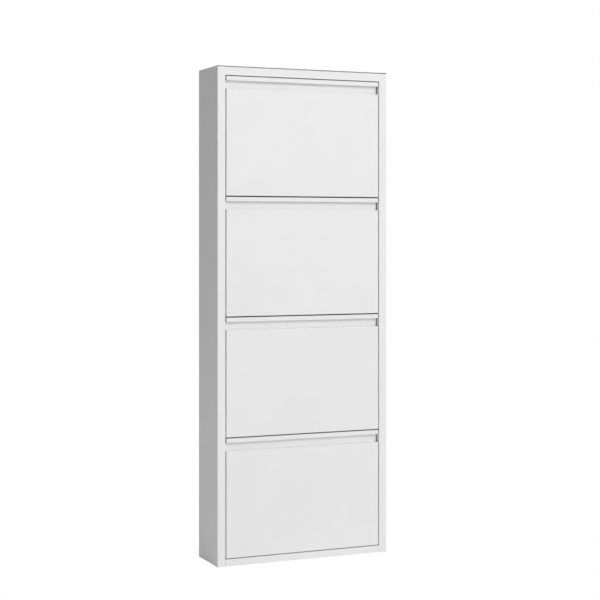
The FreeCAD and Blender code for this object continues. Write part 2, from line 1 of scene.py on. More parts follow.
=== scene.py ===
"""Studio scene of a slim shoe cabinet of folded, powder-coated sheet steel.

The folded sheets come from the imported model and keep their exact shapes; they get their finishes
here. The small made parts (rivets, studs, bushes, stops, screws, catches and pads) are modelled
here in full, where their plain counterparts stand, and stand for them.
Metres. +X is to the right seen from the front, +Y to the back, +Z up.
"""

import json
import logging
import math
from collections.abc import Callable, Iterable, Sequence
from dataclasses import dataclass
from enum import Enum

import bmesh
import bpy
from mathutils import Matrix, Vector

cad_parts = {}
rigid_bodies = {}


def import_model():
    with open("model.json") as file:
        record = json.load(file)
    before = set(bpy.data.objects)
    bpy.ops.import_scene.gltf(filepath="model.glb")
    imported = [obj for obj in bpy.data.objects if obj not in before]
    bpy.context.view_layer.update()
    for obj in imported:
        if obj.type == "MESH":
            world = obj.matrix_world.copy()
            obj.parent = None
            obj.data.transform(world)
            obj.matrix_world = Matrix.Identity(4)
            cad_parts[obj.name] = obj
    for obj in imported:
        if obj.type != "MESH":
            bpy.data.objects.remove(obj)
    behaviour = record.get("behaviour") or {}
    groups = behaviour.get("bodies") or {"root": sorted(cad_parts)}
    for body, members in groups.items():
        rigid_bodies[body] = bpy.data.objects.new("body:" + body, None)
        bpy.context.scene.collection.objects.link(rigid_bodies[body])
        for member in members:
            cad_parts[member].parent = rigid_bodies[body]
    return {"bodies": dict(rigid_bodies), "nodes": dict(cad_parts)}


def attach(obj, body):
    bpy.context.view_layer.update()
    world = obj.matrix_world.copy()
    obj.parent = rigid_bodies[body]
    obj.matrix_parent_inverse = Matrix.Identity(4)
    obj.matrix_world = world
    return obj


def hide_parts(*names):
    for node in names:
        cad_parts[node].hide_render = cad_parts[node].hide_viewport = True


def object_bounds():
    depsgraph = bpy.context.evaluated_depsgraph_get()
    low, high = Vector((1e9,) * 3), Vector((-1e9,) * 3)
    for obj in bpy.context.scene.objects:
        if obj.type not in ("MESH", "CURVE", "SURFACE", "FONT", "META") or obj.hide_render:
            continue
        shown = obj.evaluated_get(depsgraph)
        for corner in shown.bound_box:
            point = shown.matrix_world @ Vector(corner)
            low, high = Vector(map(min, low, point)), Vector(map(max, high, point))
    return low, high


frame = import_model()
CAD_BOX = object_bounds()

MM = 0.001
LOG = logging.getLogger("shoe_cabinet")
SAME = 1e-6      # metres within which two points are one
FACING = 0.99    # how squarely a face must look one way to count as facing it


class Side(Enum):
    """The two sides of the cabinet, as the way that leads inwards from each."""

    LEFT = Vector((1, 0, 0))
    RIGHT = Vector((-1, 0, 0))


class Slot(Enum):
    """The record's material slots."""

    COAT = "white_powder_coat"
    COATED_RIVET = "white_rivets"
    ZINC = "zinc_steel"
    FERRITE = "magnet_plate"
    NYLON = "white_plastic"
    RUBBER = "black_rubber"


# ---- Boxes of the frame's solids ----
@dataclass(frozen=True)
class Box:
    """The space that one solid takes, by its lowest and highest corners."""

    low: Vector
    high: Vector

    @property
    def centre(self) -> Vector:
        """The box's middle."""
        return (self.low + self.high) / 2

    @property
    def size(self) -> Vector:
        """The box's three edge lengths."""
        return self.high - self.low

    def side(self) -> Side:
        """The side of the cabinet that the box is on."""
        return Side.LEFT if self.centre.x < 0 else Side.RIGHT

    def start(self, way: Vector) -> Vector:
        """The middle of the face that a piece pointing along a way starts from.

        Args:
            way: A unit vector along one of the three axes.

        Returns:
            The point on the box's face at the back of that way.
        """
        return self.centre - way * (self.length(way) / 2)

    def length(self, way: Vector) -> float:
        """The box's size along a way."""
        return sum(abs(way[axis]) * self.size[axis] for axis in range(3))


def solids_of(node: str) -> list[Box]:
    """Measures each separate solid of a CAD node.

    Args:
        node: The node's name.

    Returns:
        One box for each solid, ordered from the top down, from left to right and from front to back.
    """
    def place(box: Box) -> tuple[float, float, float]:
        across, deep, up = (round(value, 4) for value in box.centre)
        return -up, across, deep

    mesh = bmesh.new()
    mesh.from_mesh(frame["nodes"][node].data)
    bmesh.ops.remove_doubles(mesh, verts=mesh.verts, dist=SAME)
    left = set(mesh.verts)
    boxes = []
    while left:
        stack = [left.pop()]
        island = []
        while stack:
            vertex = stack.pop()
            island.append(vertex.co.copy())
            for edge in vertex.link_edges:
                other = edge.other_vert(vertex)
                if other in left:
                    left.remove(other)
                    stack.append(other)
        low = Vector(min(point[axis] for point in island) for axis in range(3))
        high = Vector(max(point[axis] for point in island) for axis in range(3))
        boxes.append(Box(low, high))
    mesh.free()
    return sorted(boxes, key=place)


# ---- Modelling ----
class Bench:
    """Modelling steps that the pieces share, all of them operators."""

    @staticmethod
    def clear() -> None:
        """Deselects every object."""
        bpy.ops.object.select_all(action="DESELECT")

    @staticmethod
    def take(piece: bpy.types.Object) -> None:
        """Makes a piece the only one selected, and active."""
        Bench.clear()
        piece.select_set(True)
        bpy.context.view_layer.objects.active = piece

    @staticmethod
    def pick(piece: bpy.types.Object, kind: str, test: Callable[..., bool]) -> int:
        """Selects the faces, edges or vertices of a piece in edit mode that pass a test.

        Args:
            piece: The piece that is in edit mode.
            kind: "FACE", "EDGE" or "VERT".
            test: Says of one element whether it is selected.

        Returns:
            How many were selected.
        """
        bpy.ops.mesh.select_mode(type=kind)
        bpy.ops.mesh.select_all(action="DESELECT")
        mesh = bmesh.from_edit_mesh(piece.data)
        elements = {"FACE": mesh.faces, "EDGE": mesh.edges, "VERT": mesh.verts}[kind]
        chosen = [element for element in elements if test(element)]
        for element in chosen:
            element.select_set(True)
        mesh.select_flush_mode()
        bmesh.update_edit_mesh(piece.data)
        return len(chosen)

    @staticmethod
    def slab(name: str, box: Box) -> bpy.types.Object:
        """A cube primitive stretched over a box, its place in its mesh.

        Args:
            name: The piece's name.
            box: The space it fills.

        Returns:
            The piece, a start for edits.
        """
        Bench.clear()
        bpy.ops.mesh.primitive_cube_add(size=1, location=box.centre, scale=box.size)
        piece = bpy.context.active_object
        piece.name = piece.data.name = name
        bpy.ops.object.transform_apply(location=True, rotation=True, scale=True)
        return piece

    @staticmethod
    def turned(name: str, profile: Sequence[tuple[float, float]], steps: int,
               hollow: bool = False) -> bpy.types.Object:
        """Draws a profile from one point and spins it about Z.

        Args:
            name: The piece's name.
            profile: (radius, height) points, anticlockwise seen with Z up.
            steps: Sides of the round.
            hollow: True if the profile is a loop clear of the axis.

        Returns:
            The closed piece.
        """
        Bench.clear()
        radius, height = profile[0]
        bpy.ops.mesh.primitive_plane_add(size=MM, location=(radius, 0, height))
        piece = bpy.context.active_object
        piece.name = piece.data.name = name
        bpy.ops.object.transform_apply(location=True, rotation=True, scale=True)
        bpy.ops.object.mode_set(mode="EDIT")
        bpy.ops.mesh.select_mode(type="VERT")
        bpy.ops.mesh.select_all(action="SELECT")
        bpy.ops.mesh.merge(type="CENTER")
        for (radius_a, height_a), (radius_b, height_b) in zip(profile, profile[1:]):
            step = (radius_b - radius_a, 0, height_b - height_a)
            bpy.ops.mesh.extrude_region_move(TRANSFORM_OT_translate={"value": step})
        if hollow:
            first, last = profile[0], profile[-1]
            Bench.pick(piece, "VERT", lambda vertex: Bench.near(vertex, first, last))
            bpy.ops.mesh.edge_face_add()
        bpy.ops.mesh.select_all(action="SELECT")
        bpy.ops.mesh.spin(steps=steps, angle=math.tau, center=(0, 0, 0), axis=(0, 0, 1))
        bpy.ops.mesh.select_all(action="SELECT")
        bpy.ops.mesh.remove_doubles(threshold=SAME)
        bpy.ops.mesh.normals_make_consistent(inside=False)
        bpy.ops.object.mode_set(mode="OBJECT")
        return piece

    @staticmethod
    def near(vertex: bmesh.types.BMVert, *points: tuple[float, float]) -> bool:
        """Whether a profile vertex lies on one of some (radius, height) points."""
        return any((vertex.co - Vector((x, 0, z))).length < SAME for x, z in points)

    @staticmethod
    def soften(piece: bpy.types.Object, width: float, segments: int = 2,
               sharper_than: float = 30) -> None:
        """Rounds a piece's sharp edges with an applied Bevel modifier and smooths its shading.

        Args:
            piece: The piece.
            width: The bevel's width.
            segments: Faces across each rounded edge.
            sharper_than: Degrees from which an edge is rounded.
        """
        Bench.take(piece)
        bevel = piece.modifiers.new("soften", "BEVEL")
        bevel.width = width
        bevel.segments = segments
        bevel.limit_method = "ANGLE"
        bevel.angle_limit = math.radians(sharper_than)
        bpy.ops.object.modifier_apply(modifier=bevel.name)
        bpy.ops.object.shade_smooth_by_angle(angle=math.radians(sharper_than))

    @staticmethod
    def carve(piece: bpy.types.Object, tool: bpy.types.Object) -> None:
        """Cuts a tool's shape out of a piece and removes the tool."""
        Bench.take(piece)
        cut = piece.modifiers.new("carve", "BOOLEAN")
        cut.operation = "DIFFERENCE"
        cut.solver = "EXACT"
        cut.object = tool
        bpy.ops.object.modifier_apply(modifier=cut.name)
        bpy.data.objects.remove(tool)

    @staticmethod
    def stood(master: bpy.types.Object, name: str, start: Vector, way: Vector) -> bpy.types.Object:
        """Copies a piece modelled up Z from the origin, and stands the copy along a way.

        Args:
            master: The piece that is copied.
            name: The copy's name.
            start: Where the copy's own origin goes.
            way: The unit vector that its Z turns to.

        Returns:
            The copy, with its own mesh and its place in it.
        """
        Bench.take(master)
        bpy.ops.object.duplicate(linked=False)
        copy = bpy.context.active_object
        copy.name = copy.data.name = name
        turn = Vector((0, 0, 1)).rotation_difference(way).to_matrix().to_4x4()
        copy.matrix_world = Matrix.Translation(start) @ turn
        bpy.ops.object.transform_apply(location=True, rotation=True, scale=True)
        return copy

    @staticmethod
    def joined(name: str, parts: Sequence[bpy.types.Object]) -> bpy.types.Object:
        """Makes one piece of several separate solids.

        Args:
            name: The piece's name.
            parts: The solids' objects, the first of which takes in the others.

        Returns:
            The joined piece.
        """
        Bench.take(parts[0])
        for part in parts[1:]:
            part.select_set(True)
        if len(parts) > 1:
            bpy.ops.object.join()
        piece = bpy.context.active_object
        piece.name = piece.data.name = name
        Bench.inspect(piece)
        return piece

    @staticmethod
    def inspect(piece: bpy.types.Object) -> None:
        """Stops the build if a piece is empty, open or inside out.

        Args:
            piece: A finished piece.

        Raises:
            ValueError: If its mesh doesn't bound a solid.
        """
        mesh = bmesh.new()
        mesh.from_mesh(piece.data)
        open_edges = sum(len(edge.link_faces) != 2 for edge in mesh.edges)
        volume = mesh.calc_volume(signed=True)
        mesh.free()
        if open_edges or volume <= 0:
            raise ValueError(f"{piece.name}: {open_edges} open edges, volume {volume}")

    @staticmethod
    def discard(pieces: Iterable[bpy.types.Object]) -> None:
        """Removes masters that were only copied from."""
        for piece in pieces:
            bpy.data.objects.remove(piece)


# ---- Shader building ----
class Shader:
    """A material under construction: a Principled shader, and the nodes that feed it."""

    def __init__(self, name: str) -> None:
        """Starts an empty material with a Principled shader on its output."""
        self.material = bpy.data.materials.new(name)
        self.material.use_nodes = True
        self.tree = self.material.node_tree
        self.tree.nodes.clear()
        output = self.tree.nodes.new("ShaderNodeOutputMaterial")
        self.principled = self.tree.nodes.new("ShaderNodeBsdfPrincipled")
        self.tree.links.new(self.principled.outputs["BSDF"], output.inputs["Surface"])
        self.place = self.tree.nodes.new("ShaderNodeTexCoord").outputs["Object"]

    def link(self, source: bpy.types.NodeSocket, socket: str) -> None:
        """Feeds one of the Principled shader's sockets."""
        self.tree.links.new(source, self.principled.inputs[socket])

    def constants(self, **values: float) -> None:
        """Sets plain values on the Principled shader's own sockets.

        Args:
            **values: Socket names in lower case, with underscores for spaces.
        """
        for name, value in values.items():
            label = "IOR" if name == "ior" else name.replace("_", " ").title()
            self.principled.inputs[label].default_value = value

    def group(self, tree: bpy.types.NodeTree, **values: float) -> bpy.types.Node:
        """Places a node group that reads the surface's own coordinates.

        Args:
            tree: The group's node tree, whose first input is Vector.
            **values: Values of its other inputs, underscores for spaces.

        Returns:
            The group's node.
        """
        node = self.tree.nodes.new("ShaderNodeGroup")
        node.node_tree = tree
        self.tree.links.new(self.place, node.inputs["Vector"])
        for name, value in values.items():
            node.inputs[name.replace("_", " ").title()].default_value = value
        return node

    def blend(self, mask: bpy.types.NodeSocket, low: Sequence[float],
              high: Sequence[float]) -> bpy.types.NodeSocket:
        """A colour that a mask takes from one to another.

        Args:
            mask: From 0 to 1.
            low: RGB where the mask is 0.
            high: RGB where the mask is 1.

        Returns:
            The colour's output.
        """
        mix = self.tree.nodes.new("ShaderNodeMix")
        mix.data_type = "RGBA"
        self.tree.links.new(mask, mix.inputs["Factor"])
        mix.inputs["A"].default_value = (*low, 1)
        mix.inputs["B"].default_value = (*high, 1)
        return mix.outputs["Result"]

    def span(self, mask: bpy.types.NodeSocket, low: float, high: float) -> bpy.types.NodeSocket:
        """A value that a mask takes from low to high."""
        span = self.tree.nodes.new("ShaderNodeMapRange")
        self.tree.links.new(mask, span.inputs["Value"])
        span.inputs["To Min"].default_value = low
        span.inputs["To Max"].default_value = high
        return span.outputs["Result"]

    def bump(self, height: bpy.types.NodeSocket, strength: float, depth: float) -> None:
        """Raises the surface's normal by a height map.

        Args:
            height: From 0 to 1.
            strength: The Bump node's strength.
            depth: How far height 1 stands out, in metres.
        """
        bump = self.tree.nodes.new("ShaderNodeBump")
        bump.inputs["Strength"].default_value = strength
        bump.inputs["Distance"].default_value = depth
        self.tree.links.new(height, bump.inputs["Height"])
        self.link(bump.outputs["Normal"], "Normal")


class GroupBuilder:
    """A shader node group under construction."""

    def __init__(self, name: str, inputs: dict[str, float], outputs: Sequence[str]) -> None:
        """Makes a group with a Vector input, named value inputs and value outputs."""
        self.tree = bpy.data.node_groups.new(name, "ShaderNodeTree")
        self.tree.interface.new_socket("Vector", in_out="INPUT", socket_type="NodeSocketVector")
        for label, value in inputs.items():
            socket = self.tree.interface.new_socket(label, in_out="INPUT", socket_type="NodeSocketFloat")
            socket.default_value = value
        for label in outputs:
            self.tree.interface.new_socket(label, in_out="OUTPUT", socket_type="NodeSocketFloat")
        self.given = self.tree.nodes.new("NodeGroupInput").outputs
        self.result = self.tree.nodes.new("NodeGroupOutput").inputs

    def noise(self, scale: bpy.types.NodeSocket | float, detail: float,
              roughness: float) -> bpy.types.NodeSocket:
        """Noise over the group's vector.

        Args:
            scale: Cells per metre, a value or an output.
            detail: Octaves.
            roughness: How much the finer octaves count.

        Returns:
            The noise's value.
        """
        noise = self.tree.nodes.new("ShaderNodeTexNoise")
        self.tree.links.new(self.given["Vector"], noise.inputs["Vector"])
        self.feed(noise.inputs["Scale"], scale)
        noise.inputs["Detail"].default_value = detail
        noise.inputs["Roughness"].default_value = roughness
        return noise.outputs["Factor" if "Factor" in noise.outputs else "Fac"]

    def cells(self, scale: bpy.types.NodeSocket | float) -> bpy.types.NodeSocket:
        """The colour value of each Voronoi cell over the group's vector."""
        cells = self.tree.nodes.new("ShaderNodeTexVoronoi")
        self.tree.links.new(self.given["Vector"], cells.inputs["Vector"])
        self.feed(cells.inputs["Scale"], scale)
        split = self.tree.nodes.new("ShaderNodeSeparateColor")
        self.tree.links.new(cells.outputs["Color"], split.inputs["Color"])
        return split.outputs["Red"]

    def math(self, operation: str, first: bpy.types.NodeSocket | float,
             second: bpy.types.NodeSocket | float) -> bpy.types.NodeSocket:
        """One arithmetic step, such as ADD or MULTIPLY, held between 0 and 1."""
        node = self.tree.nodes.new("ShaderNodeMath")
        node.operation = operation
        node.use_clamp = True
        self.feed(node.inputs[0], first)
        self.feed(node.inputs[1], second)
        return node.outputs["Value"]

    def contrast(self, value: bpy.types.NodeSocket, low: float, high: float) -> bpy.types.NodeSocket:
        """Stretches the part of a value between low and high to 0 to 1."""
        span = self.tree.nodes.new("ShaderNodeMapRange")
        span.interpolation_type = "SMOOTHSTEP"
        self.tree.links.new(value, span.inputs["Value"])
        span.inputs["From Min"].default_value = low
        span.inputs["From Max"].default_value = high
        return span.outputs["Result"]

    def feed(self, socket: bpy.types.NodeSocket, source: bpy.types.NodeSocket | float) -> None:
        """Links an output to a socket, or sets the socket's value."""
        if isinstance(source, (int, float)):
            socket.default_value = source
        else:
            self.tree.links.new(source, socket)


def coat_texture() -> bpy.types.NodeTree:
    """Baked powder coat: long orange peel, fine grain and a faint cloudiness.

    Returns:
        A group that gives Height, Cloud and Gloss from 0 to 1.
    """
    build = GroupBuilder("coat_texture", {"Peel": 260, "Grain": 1500, "Grain Share": 0.25},
                         ("Height", "Cloud", "Gloss"))
    peel = build.noise(build.given["Peel"], 2, 0.45)
    grain = build.noise(build.given["Grain"], 1, 0.5)
    fine = build.math("MULTIPLY", grain, build.given["Grain Share"])
    build.feed(build.result["Height"], build.math("ADD", build.math("MULTIPLY", peel, 0.75), fine))
    build.feed(build.result["Cloud"], build.contrast(build.noise(7, 3, 0.55), 0.3, 0.7))
    build.feed(build.result["Gloss"], build.contrast(build.noise(38, 3, 0.6), 0.3, 0.7))
    return build.tree


def moulded_texture() -> bpy.types.NodeTree:
    """Moulded surfaces: a fine sparked texture and slow flow marks.

    Returns:
        A group that gives Height and Flow from 0 to 1.
    """
    build = GroupBuilder("moulded_texture", {"Spark": 3200, "Flow Scale": 160}, ("Height", "Flow"))
    build.feed(build.result["Height"], build.noise(build.given["Spark"], 2, 0.6))
    flow = build.noise(build.given["Flow Scale"], 2, 0.5)
    build.feed(build.result["Flow"], build.contrast(flow, 0.35, 0.65))
    return build.tree


def plated_texture() -> bpy.types.NodeTree:
    """Bright zinc plate: small crystals, drawn lines and passivation clouds.

    Returns:
        A group that gives Height, Crystal and Cloud from 0 to 1.
    """
    build = GroupBuilder("plated_texture", {"Crystal Scale": 2600}, ("Height", "Crystal", "Cloud"))
    crystal = build.cells(build.given["Crystal Scale"])
    build.feed(build.result["Crystal"], crystal)
    build.feed(build.result["Height"], build.noise(5200, 2, 0.6))
    build.feed(build.result["Cloud"], build.contrast(build.noise(420, 3, 0.6), 0.35, 0.65))
    return build.tree


# ---- Finishes ----
@dataclass(frozen=True)
class PowderCoat:
    """Fine satin powder coat over steel.

    Attributes:
        name: The material's name.
        light: RGB of the coat where it lies full.
        dark: RGB where it lies a little thinner.
        polish: Lowest and highest roughness.
        peel: Orange-peel cells per metre.
        relief: Depth of the peel in metres.
    """

    name: str = "white_powder_coat"
    light: tuple[float, float, float] = (0.850, 0.850, 0.848)
    dark: tuple[float, float, float] = (0.832, 0.832, 0.831)
    polish: tuple[float, float] = (0.42, 0.50)
    peel: float = 260
    relief: float = 0.05 * MM

    def build(self, texture: bpy.types.NodeTree) -> bpy.types.Material:
        """Makes the material.

        Args:
            texture: The coat_texture group.

        Returns:
            The material.
        """
        shader = Shader(self.name)
        coat = shader.group(texture, peel=self.peel)
        shader.link(shader.blend(coat.outputs["Cloud"], self.dark, self.light), "Base Color")
        shader.link(shader.span(coat.outputs["Gloss"], *self.polish), "Roughness")
        shader.bump(coat.outputs["Height"], 0.6, self.relief)
        shader.constants(ior=1.5)
        return shader.material


@dataclass(frozen=True)
class ZincPlate:
    """Bright zinc plate with a faint blue passivation."""

    name: str = "zinc_steel"
    bright: tuple[float, float, float] = (0.70, 0.71, 0.73)
    dull: tuple[float, float, float] = (0.52, 0.53, 0.56)
    polish: tuple[float, float] = (0.24, 0.42)

    def build(self, texture: bpy.types.NodeTree) -> bpy.types.Material:
        """Makes the material.

        Args:
            texture: The plated_texture group.

        Returns:
            The material.
        """
        shader = Shader(self.name)
        plate = shader.group(texture)
        shader.link(shader.blend(plate.outputs["Cloud"], self.dull, self.bright), "Base Color")
        shader.link(shader.span(plate.outputs["Crystal"], *self.polish), "Roughness")
        shader.bump(plate.outputs["Height"], 0.3, 0.01 * MM)
        shader.constants(metallic=1)
        return shader.material


@dataclass(frozen=True)
class Moulded:
    """A moulded plastic, rubber or ferrite, told apart by its colours and polish."""

    name: str
    light: tuple[float, float, float]
    dark: tuple[float, float, float]
    polish: tuple[float, float]
    relief: float = 0.02 * MM
    spark: float = 3200

    def build(self, texture: bpy.types.NodeTree) -> bpy.types.Material:
        """Makes the material.

        Args:
            texture: The moulded_texture group.

        Returns:
            The material.
        """
        shader = Shader(self.name)
        mould = shader.group(texture, spark=self.spark)
        shader.link(shader.blend(mould.outputs["Flow"], self.dark, self.light), "Base Color")
        shader.link(shader.span(mould.outputs["Flow"], *self.polish), "Roughness")
        shader.bump(mould.outputs["Height"], 0.5, self.relief)
        return shader.material


class Finishes:
    """Every finish of the cabinet, made once and handed out by slot."""

    def __init__(self) -> None:
        """Builds the three textures and the six finishes."""
        coat, mould, plate = coat_texture(), moulded_texture(), plated_texture()
        rivet_coat = PowderCoat(name="white_rivets", polish=(0.36, 0.44), peel=900, relief=0.03 * MM)
        nylon = Moulded("white_plastic", (0.80, 0.80, 0.785), (0.76, 0.76, 0.745), (0.38, 0.50))
        rubber = Moulded("black_rubber", (0.040, 0.040, 0.042), (0.024, 0.024, 0.026), (0.62, 0.80),
                         relief=0.05 * MM, spark=1800)
        ferrite = Moulded("magnet_plate", (0.075, 0.075, 0.080), (0.045, 0.045, 0.050), (0.50, 0.66),
                          relief=0.04 * MM, spark=2400)
        self.by_slot = {
            Slot.COAT: PowderCoat().build(coat),
            Slot.COATED_RIVET: rivet_coat.build(coat),
            Slot.ZINC: ZincPlate().build(plate),
            Slot.FERRITE: ferrite.build(mould),
            Slot.NYLON: nylon.build(mould),
            Slot.RUBBER: rubber.build(mould),
        }

    def dress(self, piece: bpy.types.Object, slot: Slot) -> None:
        """Gives a new piece one finish all over and names its slot.

        Args:
            piece: The piece.
            slot: The record's slot that its finish stands for.
        """
        piece.data.materials.clear()
        piece.data.materials.append(self.by_slot[slot])

    def dress_node(self, name: str, slot: Slot) -> None:
        """Puts a finish in every material slot of a CAD node."""
        for place in frame["nodes"][name].material_slots:
            place.material = self.by_slot[slot]


# ---- Small parts ----
@dataclass
class SmallParts:
    """Groups of identical small parts, each modelled once and stood where its solids are.

    Attributes:
        finishes: The cabinet's finishes.
    """

    finishes: Finishes

    def fit(self, node: str, body: str, slot: Slot, make: Callable[[float], bpy.types.Object],
            way: Callable[[Box], Vector]) -> bpy.types.Object:
        """Stands a copy of a part at each solid of a CAD node, as one piece for the node.

        Args:
            node: The CAD node that the piece stands for.
            body: The body it rides on.
            slot: Its finish.
            make: Models the part up Z from the origin, for a given length.
            way: The way that the part points in a solid's box.

        Returns:
            The finished piece.
        """
        masters: dict[float, bpy.types.Object] = {}
        copies = []
        for index, box in enumerate(solids_of(node)):
            pointing = way(box)
            length = round(box.length(pointing), 5)
            if length not in masters:
                masters[length] = make(length)
            name = f"{node}_{index + 1}"
            copies.append(Bench.stood(masters[length], name, box.start(pointing), pointing))
        Bench.discard(masters.values())
        piece = Bench.joined(f"{node}_fitted", copies)
        self.finishes.dress(piece, slot)
        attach(piece, body)
        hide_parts(node)
        LOG.info("%s: %d solids on %s", piece.name, len(copies), body)
        return piece

    @staticmethod
    def inwards(box: Box) -> Vector:
        """The way from the box's side of the cabinet to its middle."""
        return box.side().value


@dataclass
class Rivet:
    """A blind rivet: domed head with its pulled stem's dimple, shank and pulled tail."""

    head_radius: float = 2.8 * MM
    shank_radius: float = 1.6 * MM
    tail_radius: float = 2.4 * MM
    head: float = 0.7 * MM
    rim: float = 0.22 * MM
    dimple_radius: float = 0.85 * MM
    dimple_floor: float = 0.765 * MM
    dimple: float = 0.3 * MM
    crown_points: int = 5
    sides: int = 28

    def crown(self, radius: float, base: float, height: float, inner: float) -> list[tuple[float, float]]:
        """Points of a domed outline from a rim inwards.

        Args:
            radius: The rim's radius.
            base: The height of the rim.
            height: How far the dome stands over the rim; negative points down.
            inner: The radius that the outline stops at.

        Returns:
            (radius, height) points, rim first.
        """
        stop = math.acos(inner / radius)
        angles = [stop * index / self.crown_points for index in range(self.crown_points + 1)]
        scale = height / math.sin(stop)
        return [(radius * math.cos(angle), base + scale * math.sin(angle)) for angle in angles]

    def build(self, length: float) -> bpy.types.Object:
        """Models one rivet up Z, its head at the origin.

        Args:
            length: From the head's top to the tail's end.

        Returns:
            The master rivet.
        """
        grip_end = length - self.head
        head = self.crown(self.head_radius, self.rim, -self.rim, self.dimple_radius)
        tail = self.crown(self.tail_radius, grip_end + self.head / 2, self.head / 2, self.dimple_radius)
        profile = [(0, self.dimple), (self.dimple_floor, self.dimple), *reversed(head),
                   (self.head_radius, self.head), (self.shank_radius, self.head),
                   (self.shank_radius, grip_end), (self.tail_radius, grip_end), *tail,
                   (self.dimple_floor, length - self.dimple), (0, length - self.dimple)]
        piece = Bench.turned("rivet_master", profile, self.sides)
        Bench.soften(piece, 0.05 * MM, 1, 40)
        return piece


@dataclass
class PivotStud:
    """A headed stud whose free end is chamfered to find its bush."""

    head_radius: float = 5 * MM
    radius: float = 3 * MM
    head: float = 1.5 * MM
    chamfer: float = 0.6 * MM
    centre_radius: float = 0.9 * MM
    centre_depth: float = 0.5 * MM
    sides: int = 36

    def build(self, length: float) -> bpy.types.Object:
        """Models one stud up Z, its head at the origin, for a given length."""
        profile = [(0, 0), (self.head_radius, 0), (self.head_radius, self.head), (self.radius, self.head),
                   (self.radius, length - self.chamfer), (self.radius - self.chamfer, length),
                   (self.centre_radius, length), (0, length - self.centre_depth)]
        piece = Bench.turned("stud_master", profile, self.sides)
        Bench.soften(piece, 0.25 * MM, 3)
        return piece


@dataclass
class Bush:
    """A flanged nylon bush with a bore clear of its stud and a snap ridge at its inner end."""

    flange_radius: float = 6 * MM
    radius: float = 4 * MM
    bore: float = 3.05 * MM
    flange: float = 1.2 * MM
    grip: float = 1.6 * MM
    play: float = 0.15 * MM
    ridge: float = 0.25 * MM
    sides: int = 40

    def build(self, length: float) -> bpy.types.Object:
        """Models one bush up Z, its flange at the origin, for a given length."""
        seat = self.flange + self.grip + self.play
        profile = [(self.bore, 0), (self.flange_radius, 0), (self.flange_radius, self.flange),
                   (self.radius, self.flange), (self.radius, seat),
                   (self.radius + self.ridge, seat + self.ridge),
                   (self.radius - self.ridge, length), (self.bore, length)]
        piece = Bench.turned("bush_master", profile, self.sides, hollow=True)
        Bench.soften(piece, 0.18 * MM, 2)
        return piece


@dataclass
class StopStud:
    """A stop stud: riveted-over outer end, shank, and a domed head inside the bin."""

    end_radius: float = 3.2 * MM
    end: float = 0.8 * MM
    radius: float = 2.5 * MM
    head_radius: float = 4 * MM
    head: float = 1.2 * MM
    sides: int = 32

    def build(self, length: float) -> bpy.types.Object:
        """Models one stop stud up Z, its riveted end at the origin, for a given length."""
        profile = [(0, 0), (self.end_radius, 0), (self.end_radius, self.end), (self.radius, self.end),
                   (self.radius, length - self.head), (self.head_radius, length - self.head),
                   (self.head_radius, length), (0, length)]
        piece = Bench.turned("stop_master", profile, self.sides)
        Bench.soften(piece, 0.3 * MM, 3)
        return piece


@dataclass
class StopSleeve:
    """A rubber sleeve with two shallow grooves round it.

    Attributes:
        radius: Outer radius.
        bore: Inner radius.
        groove: Depth of a groove.
        mouth: Half its width at the surface.
        floor: Half its width at the bottom.
        grooves: How many there are.
        sides: Faces round the sleeve.
    """

    radius: float = 4 * MM
    bore: float = 2.55 * MM
    groove: float = 0.45 * MM
    mouth: float = 0.65 * MM
    floor: float = 0.25 * MM
    grooves: int = 2
    sides: int = 36

    def build(self, length: float) -> bpy.types.Object:
        """Models one sleeve up Z from the origin, for a given length."""
        profile = [(self.bore, 0), (self.radius, 0)]
        for index in range(self.grooves):
            middle = length * (index + 1) / (self.grooves + 1)
            floor = self.radius - self.groove
            profile += [(self.radius, middle - self.mouth), (floor, middle - self.floor),
                        (floor, middle + self.floor), (self.radius, middle + self.mouth)]
        profile += [(self.radius, length), (self.bore, length)]
        piece = Bench.turned("sleeve_master", profile, self.sides, hollow=True)
        Bench.soften(piece, 0.25 * MM, 3)
        return piece


@dataclass
class FloorPad:
    """A round rubber pad with two raised rings under it.

    Attributes:
        radius: The pad's radius.
        ring: Height of the rings.
        steps: Radii where the underside changes height, as parts of the pad's radius.
        sides: Faces round the pad.
    """

    radius: float = 11 * MM
    ring: float = 0.4 * MM
    steps: tuple[float, ...] = (0.35, 0.40, 0.58, 0.63, 0.74, 0.79)
    sides: int = 64

    def build(self, length: float) -> bpy.types.Object:
        """Models one pad up Z, its rings at the origin, for a given thickness."""
        heights = (self.ring, 0, 0, self.ring, self.ring, 0)
        under = [(self.radius * step, height) for step, height in zip(self.steps, heights)]
        profile = [(0, self.ring), *under, (self.radius, 0), (self.radius, length), (0, length)]
        piece = Bench.turned("pad_master", profile, self.sides)
        Bench.soften(piece, 0.2 * MM, 2, 25)
        return piece


